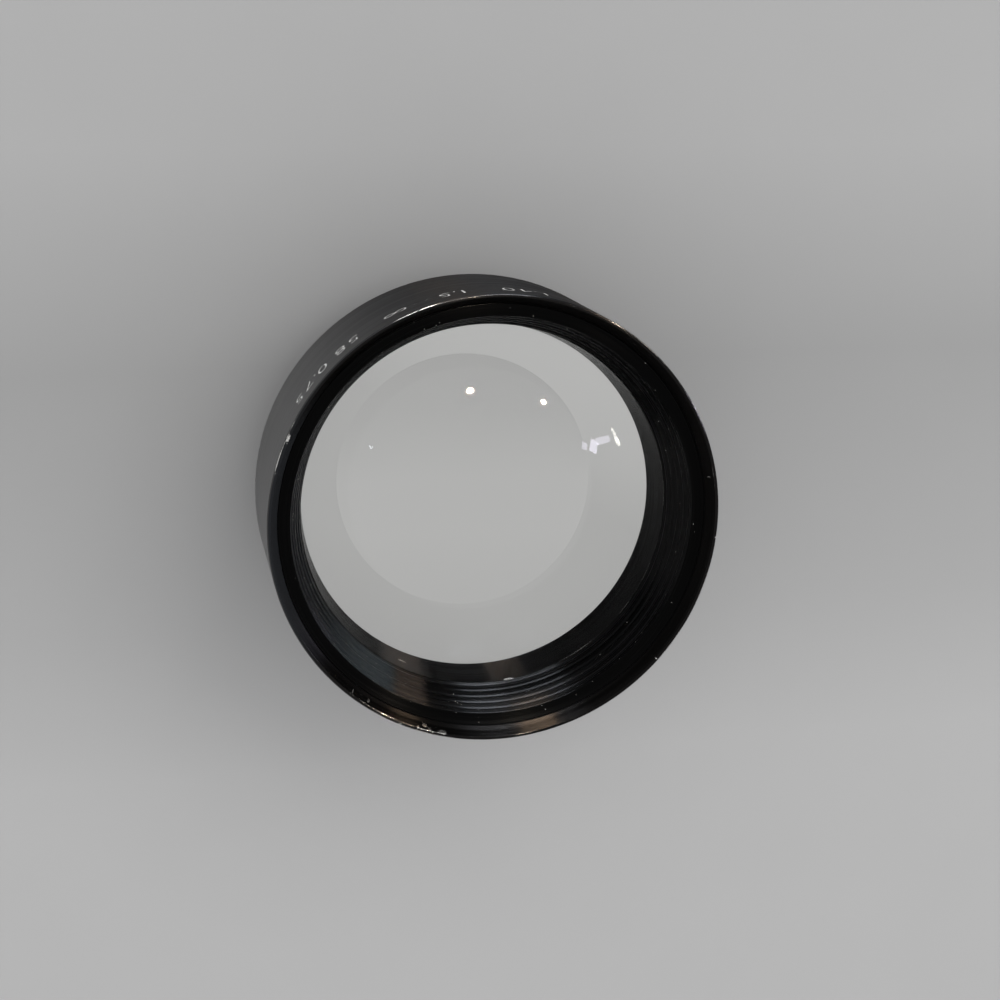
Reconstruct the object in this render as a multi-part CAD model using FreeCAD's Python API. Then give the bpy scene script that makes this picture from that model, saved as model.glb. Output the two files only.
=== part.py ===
import FreeCAD, Part
import math

# Auxiliary telephoto lens: a short black tube that screws in front of a camera's own lens.
# A large cemented front pair sits deep in the barrel, a plano-concave rear lens sits near the mount.
# The lens stands on the end of its mount thread, optical axis along +Z, front rim up.
# The origin is the centre of the thread's end face. A depth is measured back from the front rim.
# Every size is in millimetres.

# Running clearances
thread_gap = 0.05
slip_gap = 0.05
glass_gap = 0.02

# Front pair of lenses
glass_dia = 54.0
front_curve = 48.0
cement_curve = 150.0
crown_edge = 1.0
flint_centre = 2.0

# Rear lens, whose hollow faces the front pair
rear_curve = 47.0
rear_hollow_dia = 33.2
rear_centre = 1.8
rear_edge_bevel = 0.3

# Front retaining ring, screwed down on the front glass
ring_step = 1.2
ring_overlap = 0.67
ring_flare = 0.67
ring_taper_length = 7.0
ring_gap = 0.25
ring_edge = 0.2
ring_slot_width = 1.6
ring_slot_depth = 1.2
ring_slot_web = 0.35

# Trim ring between the barrel's mouth and the retaining ring
trim_recess = 0.05
trim_length = 7.0
trim_face_width = 1.78
trim_face_dish = 0.33
ridge_count = 5
ridge_height = 0.16
ridge_land = 0.55

# Barrel
barrel_wall = 1.55
lip_length = 2.0
rim_land = 0.5
rim_chamfer = 0.2
bevel_depth = 1.85
barrel_rear_chamfer = 0.4

# Lens cell inside the barrel
cell_land_length = 12.6
cell_step = 1.0
cell_relief = 0.5
cell_land = 2.2
seat_overlap = 0.65
seat_length = 1.8
thread_relief = 0.4
tail_wall = 1.45
tail_chamfer = 0.3

# Spacer sleeve and shim that set the rear lens's distance
spacer_length = 3.36
shim_thickness = 0.2
groove_count = 3
groove_depth = 0.4

# Rear mount with its male thread
spigot_length = 3.5
rear_seat_length = 1.5
mount_wall = 1.05
mount_thread_length = 4.0
mount_undercut_depth = 0.5
mount_undercut_width = 0.8
mount_face_relief = 0.15
mount_lead = 0.4
flange_step = 0.9
flange_rim = 0.6
flange_gap = 0.1

# Rear retaining ring
rear_ring_step = 0.9
rear_ring_length = 2.8
rear_ring_overlap = 0.7
rear_ring_bevel = 0.5
rear_recess = 1.0
rear_slot_width = 1.8
rear_slot_depth = 1.0

# Set screws that hold the rear mount in the cell
screw_count = 3
screw_dia = 2.0
screw_gap = 0.02
screw_inset = 1.7
screw_sink = 0.1
screw_slot_width = 0.35
screw_slot_depth = 0.6
spigot_groove_depth = 0.4
spigot_groove_side = 0.15
first_screw_angle = 30.0


def sagitta(curve, radius):
    return curve - math.sqrt(curve ** 2 - radius ** 2)


# Radii, worked outwards from the glass
glass_r = glass_dia / 2
glass_bore_r = glass_r + slip_gap
seat_r = glass_r - seat_overlap
ring_r = glass_r + ring_step
ring_contact_r = glass_r - ring_overlap
ring_mouth_r = ring_contact_r + ring_flare
rear_ring_r = glass_r + rear_ring_step
mount_thread_r = rear_ring_r + thread_gap + mount_wall
tail_r = mount_thread_r + flange_step
flange_r = tail_r + flange_rim
spigot_bore_r = tail_r - tail_wall
spigot_r = spigot_bore_r - slip_gap
land_r = tail_r + cell_step
barrel_bore_r = land_r + slip_gap
barrel_r = barrel_bore_r + barrel_wall
trim_r = barrel_bore_r - thread_gap
trim_mouth_r = trim_r - trim_face_width

# Depths, worked back from the front rim
trim_front = bevel_depth + trim_recess
trim_rear = trim_front + trim_length
lip_front = trim_rear + cell_land_length
barrel_length = lip_front + lip_length
ring_front = trim_rear + ring_gap
contact_depth = ring_front + ring_taper_length
front_apex = contact_depth - sagitta(front_curve, ring_contact_r)
front_edge = front_apex + sagitta(front_curve, glass_r)
cement_edge = front_edge + crown_edge
cement_apex = cement_edge + sagitta(cement_curve, glass_r)
seat_depth = cement_apex + flint_centre
spacer_front = seat_depth + seat_length
shim_front = spacer_front + spacer_length
spigot_front = shim_front + shim_thickness
rear_seat = spigot_front + rear_seat_length
rear_hollow_r = rear_hollow_dia / 2
rear_face = rear_seat + sagitta(rear_curve, rear_hollow_r) + rear_centre
rear_ring_end = rear_face + rear_ring_length
overall_length = rear_ring_end + rear_recess
flange_rear = overall_length - mount_thread_length
flange_front = spigot_front + spigot_length
tail_end = flange_front - flange_gap


def point(radius, depth):
    return FreeCAD.Vector(radius, 0, overall_length - depth)


def lines(*places):
    """Straight edges through (radius, depth) places."""
    corners = [point(radius, depth) for radius, depth in places]
    return [Part.makeLine(a, b) for a, b in zip(corners, corners[1:])]


def dome(apex, curve, start_r, end_r, forward):
    """Arc of a lens surface from one radius to another, bulging forward or back."""
    sign = 1 if forward else -1
    radii = (start_r, (start_r + end_r) / 2, end_r)
    places = [point(r, apex + sign * sagitta(curve, r)) for r in radii]
    return Part.Arc(*places).toShape()


def turned(edges):
    """Solid of revolution about the optical axis from a closed outline."""
    face = Part.Face(Part.Wire(edges))
    return face.revolve(FreeCAD.Vector(0, 0, 0), FreeCAD.Vector(0, 0, 1), 360)


def turned_corners(places):
    return turned(lines(*places, places[0]))


def facing_slots(width, inner_r, outer_r, near, far):
    """Pair of opposite slots for a spanner, between two radii and two depths."""
    slots = []
    for side in (0, 180):
        size = (outer_r - inner_r, width, abs(far - near))
        corner = FreeCAD.Vector(inner_r, -width / 2, overall_length - max(near, far))
        slot = Part.makeBox(*size, corner)
        slot.rotate(FreeCAD.Vector(0, 0, 0), FreeCAD.Vector(0, 0, 1), side)
        slots.append(slot)
    return Part.makeCompound(slots)


def front_barrel():
    """Outer tube: narrow bright rim, wide lead-in bevel, plain bore and a rear lip."""
    mouth_r = barrel_r - rim_land
    lip_r = tail_r + slip_gap
    return turned_corners([
        (mouth_r, 0),
        (barrel_r - rim_chamfer, 0),
        (barrel_r, rim_chamfer),
        (barrel_r, barrel_length - barrel_rear_chamfer),
        (barrel_r - barrel_rear_chamfer, barrel_length),
        (lip_r, barrel_length),
        (lip_r, lip_front),
        (barrel_bore_r, lip_front),
        (barrel_bore_r, bevel_depth)])


def trim_ring():
    """Dished face, then a cone of shallow ridges that stops stray light."""
    cone_front = trim_front + trim_face_dish
    pitch = (trim_rear - cone_front) / ridge_count
    taper = (trim_mouth_r - ring_mouth_r) / (trim_rear - cone_front)

    def cone_r(depth):
        return trim_mouth_r - taper * (depth - cone_front)

    places = [(trim_r, trim_rear), (trim_r, trim_front)]
    for ridge in range(ridge_count):
        start = cone_front + ridge * pitch
        land_end = start + ridge_land * pitch
        valley = (land_end + start + pitch) / 2
        places += [(cone_r(start), start), (cone_r(land_end), land_end)]
        places.append((cone_r(valley) + ridge_height, valley))
    places.append((ring_mouth_r, trim_rear))
    return turned_corners(places)


def front_retaining_ring():
    """Threaded ring with a tapered bore, its rear end ground to the curve of the glass."""
    clear_apex = front_apex - glass_gap
    inner_end = clear_apex + sagitta(front_curve, ring_contact_r)
    outer_end = clear_apex + sagitta(front_curve, glass_r)
    straight = lines(
        (glass_r, outer_end),
        (ring_r, outer_end),
        (ring_r, ring_front),
        (ring_mouth_r + ring_edge, ring_front),
        (ring_mouth_r, ring_front + ring_edge),
        (ring_contact_r, inner_end))
    seat = dome(clear_apex, front_curve, ring_contact_r, glass_r, True)
    ring = turned(straight + [seat])
    slot_r = ring_mouth_r + ring_slot_web
    slots = facing_slots(ring_slot_width, slot_r, ring_r + 1, ring_front - 1, ring_front + ring_slot_depth)
    return ring.cut(slots)


def front_crown_lens():
    """Front half of the cemented pair, strongly convex to the front."""
    return turned(
        [dome(front_apex, front_curve, 0, glass_r, True)]
        + lines((glass_r, front_edge), (glass_r, cement_edge))
        + [dome(cement_apex, cement_curve, glass_r, 0, False)]
        + lines((0, cement_apex), (0, front_apex)))


def front_flint_lens():
    """Rear half of the cemented pair, with a flat rear face."""
    return turned(
        [dome(cement_apex, cement_curve, 0, glass_r, False)]
        + lines((glass_r, cement_edge), (glass_r, seat_depth), (0, seat_depth), (0, cement_apex)))


def lens_cell():
    """Inner tube that carries both glasses, with a narrower tail behind the barrel."""
    ring_bore_r = ring_r + thread_gap
    ring_bore_end = front_edge + thread_relief
    relief_r = land_r - cell_relief
    tube = turned_corners([
        (ring_bore_r, trim_rear),
        (land_r, trim_rear),
        (land_r, trim_rear + cell_land),
        (relief_r, trim_rear + cell_land),
        (relief_r, lip_front - cell_land),
        (land_r, lip_front - cell_land),
        (land_r, lip_front),
        (tail_r, lip_front),
        (tail_r, tail_end - tail_chamfer),
        (tail_r - tail_chamfer, tail_end),
        (spigot_bore_r, tail_end),
        (spigot_bore_r, spacer_front),
        (seat_r, spacer_front),
        (seat_r, seat_depth),
        (glass_bore_r, seat_depth),
        (glass_bore_r, ring_bore_end),
        (ring_bore_r, ring_bore_end)])
    return tube.cut(screw_rods(screw_dia / 2, spigot_r - 1, tail_r + 1))


def spacer_sleeve():
    """Sleeve between the cell's seat and the shim, grooved inside against reflections."""
    pitch = spacer_length / groove_count
    places = [(seat_r, shim_front), (spigot_r, shim_front), (spigot_r, spacer_front)]
    for groove in range(groove_count):
        start = spacer_front + groove * pitch
        places += [(seat_r, start), (seat_r + groove_depth, start + pitch / 2)]
    return turned_corners(places)


def focus_shim():
    """Thin brass ring that trims the distance between the two groups."""
    return turned_corners([
        (seat_r, shim_front),
        (spigot_r, shim_front),
        (spigot_r, spigot_front),
        (seat_r, spigot_front)])


def rear_lens():
    """Plano-concave lens with a flat polished margin round its hollow."""
    hollow_apex = rear_face - rear_centre
    bevel_r = glass_r - rear_edge_bevel
    return turned(
        [dome(hollow_apex, rear_curve, 0, rear_hollow_r, False)]
        + lines(
            (rear_hollow_r, rear_seat),
            (bevel_r, rear_seat),
            (glass_r, rear_seat + rear_edge_bevel),
            (glass_r, rear_face - rear_edge_bevel),
            (bevel_r, rear_face),
            (0, rear_face),
            (0, hollow_apex)))


def rear_mount():
    """Spigot, flange and male thread, with an undercut that runs into the flange's seating face."""
    ring_bore_r = rear_ring_r + thread_gap
    ring_bore_start = rear_face - thread_relief
    undercut_r = mount_thread_r - mount_undercut_depth
    relief_r = mount_thread_r + mount_face_relief
    screw_depth = flange_front - screw_inset
    groove_r = spigot_r - spigot_groove_depth
    groove_half = screw_dia / 2 + spigot_groove_side
    return turned_corners([
        (seat_r, spigot_front),
        (spigot_r, spigot_front),
        (spigot_r, screw_depth - groove_half),
        (groove_r, screw_depth - groove_half),
        (groove_r, screw_depth + groove_half),
        (spigot_r, screw_depth + groove_half),
        (spigot_r, flange_front),
        (flange_r - tail_chamfer, flange_front),
        (flange_r, flange_front + tail_chamfer),
        (flange_r, flange_rear - tail_chamfer),
        (flange_r - tail_chamfer, flange_rear),
        (relief_r + mount_face_relief, flange_rear),
        (relief_r, flange_rear - mount_face_relief),
        (undercut_r, flange_rear - mount_face_relief),
        (undercut_r, flange_rear + mount_undercut_width),
        (mount_thread_r, flange_rear + mount_undercut_width),
        (mount_thread_r, overall_length - mount_lead),
        (mount_thread_r - mount_lead, overall_length),
        (ring_bore_r, overall_length),
        (ring_bore_r, ring_bore_start),
        (glass_bore_r, ring_bore_start),
        (glass_bore_r, rear_seat),
        (seat_r, rear_seat)])


def rear_retaining_ring():
    """Threaded ring behind the rear lens, with two spanner slots."""
    inner_r = glass_r - rear_ring_overlap
    ring = turned_corners([
        (inner_r, rear_face),
        (rear_ring_r, rear_face),
        (rear_ring_r, rear_ring_end),
        (inner_r + rear_ring_bevel, rear_ring_end),
        (inner_r, rear_ring_end - rear_ring_bevel)])
    near = rear_ring_end - rear_slot_depth
    return ring.cut(facing_slots(rear_slot_width, inner_r - 1, rear_ring_r + 1, near, rear_ring_end + 1))


def screw_rods(radius, inner_r, outer_r):
    """Radial rods, evenly round the tail, at the depth of the set screws."""
    height = overall_length - (flange_front - screw_inset)
    rods = []
    for index in range(screw_count):
        base = FreeCAD.Vector(inner_r, 0, height)
        rod = Part.makeCylinder(radius, outer_r - inner_r, base, FreeCAD.Vector(1, 0, 0))
        angle = first_screw_angle + index * 360 / screw_count
        rod.rotate(FreeCAD.Vector(0, 0, 0), FreeCAD.Vector(0, 0, 1), angle)
        rods.append(rod)
    return Part.makeCompound(rods)


def mount_set_screws():
    """Slotted headless screws that bear on the groove round the mount's spigot."""
    inner_r = spigot_r - spigot_groove_depth + screw_gap
    outer_r = tail_r - screw_sink
    height = overall_length - (flange_front - screw_inset)
    blanks = screw_rods(screw_dia / 2 - screw_gap, inner_r, outer_r)
    screws = []
    for index, blank in enumerate(blanks.Solids):
        corner = FreeCAD.Vector(outer_r - screw_slot_depth, -screw_dia, height - screw_slot_width / 2)
        slot = Part.makeBox(screw_slot_depth + 1, 2 * screw_dia, screw_slot_width, corner)
        angle = first_screw_angle + index * 360 / screw_count
        slot.rotate(FreeCAD.Vector(0, 0, 0), FreeCAD.Vector(0, 0, 1), angle)
        screws.append(blank.cut(slot))
    return Part.makeCompound(screws)


pieces = [
    front_barrel,
    trim_ring,
    front_retaining_ring,
    front_crown_lens,
    front_flint_lens,
    lens_cell,
    spacer_sleeve,
    focus_shim,
    rear_lens,
    rear_mount,
    rear_retaining_ring,
    mount_set_screws]

for make in pieces:
    shape = make()
    shape.exportStep("parts/" + make.__name__ + ".step")
    print(make.__name__, len(shape.Solids), "solid", round(shape.Volume / 1000, 3), "cm3", shape.isValid())

print("barrel", 2 * barrel_r, "x", barrel_length, "overall", overall_length)
print("mount thread", 2 * mount_thread_r, "front glass apex", front_apex, "rear seat", rear_seat)
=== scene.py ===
# %% [markdown]
# An auxiliary telephoto lens stands on the end of its rear thread, with its deep black mouth and
# large front glass looking up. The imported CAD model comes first, as a fixed frame in metres. Its
# nodes are turned parts, so radii and depths behind the front rim describe every one of them.
# %% The frame
import bpy
import bmesh
import math
import numpy as np
from mathutils import Matrix, Vector


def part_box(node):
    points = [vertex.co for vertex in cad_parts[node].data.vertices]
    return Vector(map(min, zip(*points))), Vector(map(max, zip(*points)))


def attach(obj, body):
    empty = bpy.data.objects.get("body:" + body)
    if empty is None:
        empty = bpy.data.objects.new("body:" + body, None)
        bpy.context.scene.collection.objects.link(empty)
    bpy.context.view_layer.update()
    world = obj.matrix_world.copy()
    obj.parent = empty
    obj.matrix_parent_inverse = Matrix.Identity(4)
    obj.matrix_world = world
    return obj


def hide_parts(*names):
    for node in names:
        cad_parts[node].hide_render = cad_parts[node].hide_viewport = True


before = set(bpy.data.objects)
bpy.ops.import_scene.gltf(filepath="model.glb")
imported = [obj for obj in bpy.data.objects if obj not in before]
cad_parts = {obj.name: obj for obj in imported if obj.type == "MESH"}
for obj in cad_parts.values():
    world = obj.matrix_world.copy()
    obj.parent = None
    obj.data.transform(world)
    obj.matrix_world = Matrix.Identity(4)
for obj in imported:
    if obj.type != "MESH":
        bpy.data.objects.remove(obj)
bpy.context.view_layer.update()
mm = 0.001
rim_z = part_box("front_barrel")[1].z


def reach(node):
    """Outer radius, front depth and rear depth of a turned node, in millimetres."""
    low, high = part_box(node)
    radius = min(high.x, high.y, -low.x, -low.y)
    return radius / mm, (rim_z - high.z) / mm, (rim_z - low.z) / mm


barrel_r, _, barrel_rear = reach("front_barrel")
trim_r, trim_front, trim_rear = reach("trim_ring")
ring_r, ring_front, _ = reach("front_retaining_ring")
glass_r, glass_apex, _ = reach("front_crown_lens")
flint_rear = reach("front_flint_lens")[2]
lens_r, hollow_front, rear_face = reach("rear_lens")
mount_r, mount_front, mount_rear = reach("rear_mount")
back_r = reach("rear_retaining_ring")[0]
print("barrel", barrel_r, "x", barrel_rear, "mm, glass", glass_r, "mm in radius")

# %% [markdown]
# The camera looks down into the mouth, a little off the optical axis, and is rolled about its own
# line of sight. A 63 mm lens keeps the near side of the barrel only slightly larger than the far
# side. The roll turns the picture without moving the lens or the lamps.
# %% The camera
def placed(name, data):
    """A new object in the scene, at the origin."""
    thing = bpy.data.objects.new(name, data)
    bpy.context.scene.collection.objects.link(thing)
    return thing


eye_distance = 246.7 * mm
eye_tilt = math.radians(18.813)
eye_roll = math.radians(139.59)
aim = Vector((-2.22 * mm, -2.62 * mm, rim_z))
eye = Vector((0, -math.sin(eye_tilt), math.cos(eye_tilt))) * eye_distance + Vector((0, 0, rim_z))
camera_data = bpy.data.cameras.new("camera")
camera_data.lens = 63
camera_data.clip_start = 0.01
camera = placed("camera", camera_data)
turn = (aim - eye).to_track_quat("-Z", "Y").to_matrix().to_4x4()
camera.matrix_world = Matrix.Translation(eye) @ turn @ Matrix.Rotation(eye_roll, 4, "Z")
bpy.context.scene.camera = camera
print("camera", round((aim - eye).length / mm), "mm from the rim")

# %% [markdown]
# Nodes are easier to read when a line of code adds one and wires it. These helpers do that: inputs
# are given by name or number, either as a plain value or as the socket of an earlier node.
# %% Adding nodes
def fill(tree, node, inputs):
    """Sets a node's inputs, each to a value or to an earlier socket."""
    for name, value in inputs.items():
        socket = node.inputs[name]
        if isinstance(value, bpy.types.NodeSocket):
            tree.links.new(value, socket)
        else:
            socket.default_value = value


def add(tree, kind, inputs=None, **settings):
    """A new node with its settings and its inputs."""
    node = tree.nodes.new(kind)
    for name, value in settings.items():
        setattr(node, name, value)
    fill(tree, node, inputs or {})
    return node


def maths(tree, operation, *values, clamp=False):
    """One Math node and its result."""
    inputs = {index: value for index, value in enumerate(values)}
    return add(tree, "ShaderNodeMath", inputs, operation=operation, use_clamp=clamp).outputs[0]


def products(tree, a, b, c, d):
    """a times b plus c times d."""
    return maths(tree, "ADD", maths(tree, "MULTIPLY", a, b), maths(tree, "MULTIPLY", c, d))


def ramp(tree, value, low, high, to_low=0.0, to_high=1.0, curve="SMOOTHSTEP"):
    """A step from to_low at low to to_high at high, smooth unless the curve is LINEAR."""
    inputs = {"Value": value, "From Min": low, "From Max": high, "To Min": to_low, "To Max": to_high}
    return add(tree, "ShaderNodeMapRange", inputs, interpolation_type=curve).outputs[0]


def mixed(tree, factor, first, second, blend_type="MIX"):
    """Two colours mixed by a mask."""
    inputs = {0: factor, 6: first, 7: second}
    return add(tree, "ShaderNodeMix", inputs, data_type="RGBA", blend_type=blend_type).outputs[2]


def object_place(tree):
    """Each point's own coordinates on the object, in metres."""
    return add(tree, "ShaderNodeTexCoord").outputs["Object"]


def noise(tree, scale, detail=2.0):
    """Noise between 0 and 1 over the object."""
    inputs = {"Vector": object_place(tree), "Scale": scale, "Detail": detail}
    return add(tree, "ShaderNodeTexNoise", inputs).outputs[0]


def new_material(name):
    """A material with its node tree and its Principled shader."""
    material = bpy.data.materials.new(name)
    material.use_nodes = True
    return material, material.node_tree, material.node_tree.nodes["Principled BSDF"]


def shader_group(name, inputs, outputs):
    """An empty shader group with named inputs (name, default) and float outputs."""
    tree = bpy.data.node_groups.new(name, "ShaderNodeTree")
    for label, default in inputs:
        socket = tree.interface.new_socket(label, in_out="INPUT", socket_type="NodeSocketFloat")
        socket.default_value = default
    for label in outputs:
        tree.interface.new_socket(label, in_out="OUTPUT", socket_type="NodeSocketFloat")
    return tree, tree.nodes.new("NodeGroupInput").outputs, tree.nodes.new("NodeGroupOutput")


def use(tree, group, **inputs):
    """A group placed in a material, with its own values."""
    node = tree.nodes.new("ShaderNodeGroup")
    node.node_tree = group
    fill(tree, node, {name.replace("_", " "): value for name, value in inputs.items()})
    return node.outputs


# %% [markdown]
# Everything here came off a lathe, so patterns follow the radius, the height and the angle round
# the optical axis. Object coordinates give these at every point, in metres. The angle goes in as
# its cosine and sine, which keeps a pattern free of a seam.
# %% Lathe coordinates
lathe, _, out = shader_group("lathe coordinates", [], ["Radius", "Height", "Cosine", "Sine"])
x, y, z = add(lathe, "ShaderNodeSeparateXYZ", {0: object_place(lathe)}).outputs
radius = maths(lathe, "MAXIMUM", maths(lathe, "SQRT", products(lathe, x, x, y, y)), 1e-6)
fill(lathe, out, {
    "Radius": radius,
    "Height": z,
    "Cosine": maths(lathe, "DIVIDE", x, radius),
    "Sine": maths(lathe, "DIVIDE", y, radius)})
print("lathe coordinates:", len(lathe.nodes), "nodes")

# %% [markdown]
# A turning tool leaves fine grooves round the work. They could be modelled, but they are a few
# hundredths of a millimetre wide. A noise that is squeezed along the radius and height, and drawn
# out round the axis, gives their height for a Bump node.
# %% Turning marks
marks, given, out = shader_group(
    "turning marks", [("Pitch", 0.0002), ("Breaks", 6.0)], ["Height", "Streaks"])
here = use(marks, lathe)
across = maths(marks, "DIVIDE", here["Radius"], given["Pitch"])
along = maths(marks, "DIVIDE", here["Height"], given["Pitch"])
around = add(marks, "ShaderNodeCombineXYZ", {
    "X": across,
    "Y": maths(marks, "MULTIPLY", here["Cosine"], given["Breaks"]),
    "Z": maths(marks, "MULTIPLY", here["Sine"], given["Breaks"])}).outputs[0]
fine = add(marks, "ShaderNodeTexNoise", {"Vector": around, "W": along, "Scale": 1.0, "Detail": 3.0},
           noise_dimensions="4D")
broad = add(marks, "ShaderNodeTexNoise", {"Vector": around, "W": along, "Scale": 0.13, "Detail": 2.0},
            noise_dimensions="4D")
fill(marks, out, {"Height": fine.outputs[0], "Streaks": ramp(marks, broad.outputs[0], 0.35, 0.65)})
print("turning marks:", len(marks.nodes), "nodes")

# %% [markdown]
# Some effects stay in one stretch of the circle. The mask below is 1 near an azimuth and fades to 0
# at the spread on either side. It compares cosines and sines, so it has no seam at the back.
# %% A stretch of the circle
stretch, given, out = shader_group(
    "stretch of the circle", [("Azimuth", 0.0), ("Spread", 0.5), ("Full", 0.8)], ["Mask"])
here = use(stretch, lathe)
towards = products(stretch, here["Cosine"], maths(stretch, "COSINE", given["Azimuth"]),
                   here["Sine"], maths(stretch, "SINE", given["Azimuth"]))
away = maths(stretch, "ARCCOSINE", maths(stretch, "MINIMUM", towards, 0.999999))
part = maths(stretch, "DIVIDE", away, given["Spread"])
fill(stretch, out, {"Mask": ramp(stretch, part, given["Full"], 1.0, 1.0, 0.0)})
print("stretch of the circle:", len(stretch.nodes), "nodes")


def stretch_mask(tree, azimuth, spread, full):
    """The stretch's mask in a material, with its angles in degrees."""
    return use(tree, stretch, Azimuth=math.radians(azimuth), Spread=math.radians(spread),
               Full=full)["Mask"]

# %% [markdown]
# Black anodising rubs through along sharp turned edges, but only where hands and caps touch it.
# The group below takes one stretch of one edge: its circle, its place round the axis and how far it
# spreads. It measures how far each point is from that circle and breaks the bright line up with noise,
# as real wear is. The same group also paints a few glints and one highlight as bright bare metal:
# painted light.
# %% Edge wear and painted glints
wear_and_glints, given, out = shader_group("edge wear", [
    ("Edge Radius", 0.03), ("Edge Height", 0.0), ("Width", 0.0002), ("Azimuth", 0.0), ("Spread", 0.1),
    ("Amount", 0.5)], ["Mask"])
here = use(wear_and_glints, lathe)
side = maths(wear_and_glints, "SUBTRACT", here["Radius"], given["Edge Radius"])
rise = maths(wear_and_glints, "SUBTRACT", here["Height"], given["Edge Height"])
gap = maths(wear_and_glints, "SQRT", products(wear_and_glints, side, side, rise, rise))
window = use(wear_and_glints, stretch, Azimuth=given["Azimuth"], Spread=given["Spread"], Full=0.5)["Mask"]
rubbed = noise(wear_and_glints, 240.0, 3.0)
ragged = noise(wear_and_glints, 2600.0)
level = products(wear_and_glints, rubbed, 1.6, ragged, 0.7)
level = maths(wear_and_glints, "ADD", level, maths(wear_and_glints, "SUBTRACT", given["Amount"], 1.55))
level = maths(wear_and_glints, "MULTIPLY", maths(wear_and_glints, "MAXIMUM", level, 0.0), window)
worn_and_glinting = maths(wear_and_glints, "SUBTRACT", maths(wear_and_glints, "MULTIPLY", given["Width"], level), gap)
edge_softness = 0.00004
fill(wear_and_glints, out, {"Mask": ramp(wear_and_glints, worn_and_glinting, 0.0, edge_softness)})
print("edge wear:", len(wear_and_glints.nodes), "nodes")

# %% [markdown]
# Fine dust lies on every face that looks up. A Voronoi texture makes cells; a few of them, picked
# by their random colour, get a small round speck in the middle.
# %% Dust
dust, given, out = shader_group(
    "dust", [("Cell Size", 0.0008), ("Speck Size", 0.08), ("Share", 0.15)], ["Mask"])
cells = add(dust, "ShaderNodeTexVoronoi", {
    "Vector": object_place(dust), "Randomness": 1.0,
    "Scale": maths(dust, "DIVIDE", 1.0, given["Cell Size"])})
lot = add(dust, "ShaderNodeSeparateColor", {0: cells.outputs["Color"]}).outputs
chosen = maths(dust, "LESS_THAN", lot[0], given["Share"])
bigness = maths(dust, "MULTIPLY", given["Speck Size"], maths(dust, "ADD", lot[1], 0.4))
speck = ramp(dust, maths(dust, "SUBTRACT", bigness, cells.outputs["Distance"]), 0.0, 0.05)
normal = add(dust, "ShaderNodeNewGeometry").outputs["Normal"]
facing = ramp(dust, add(dust, "ShaderNodeSeparateXYZ", {0: normal}).outputs[2], 0.0, 0.5)
fill(dust, out, {"Mask": maths(dust, "MULTIPLY", maths(dust, "MULTIPLY", speck, chosen), facing)})
print("dust:", len(dust.nodes), "nodes")

# %% [markdown]
# All the black metal is the same recipe with other numbers. It is a metal whose mirror is almost
# black, and its specular tint keeps it black at a glance too, so the deep recess stays dark. Turning
# marks stretch each highlight across the grooves: that is the anisotropy, turned a quarter from the
# tangent round the axis. Edges wear to bare aluminium, and specks of dust lie on top.
# Some bare spots are painted glints and a painted highlight; some lighter patches are painted sheen
# and painted reflections.
# %% Black anodised metal
bare_metal = (0.55, 0.54, 0.52, 1)
dust_colour = (0.16, 0.16, 0.155, 1)
dust_share = 0.04
highlight_stretch = 0.95
quarter_turn = 0.25


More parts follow.
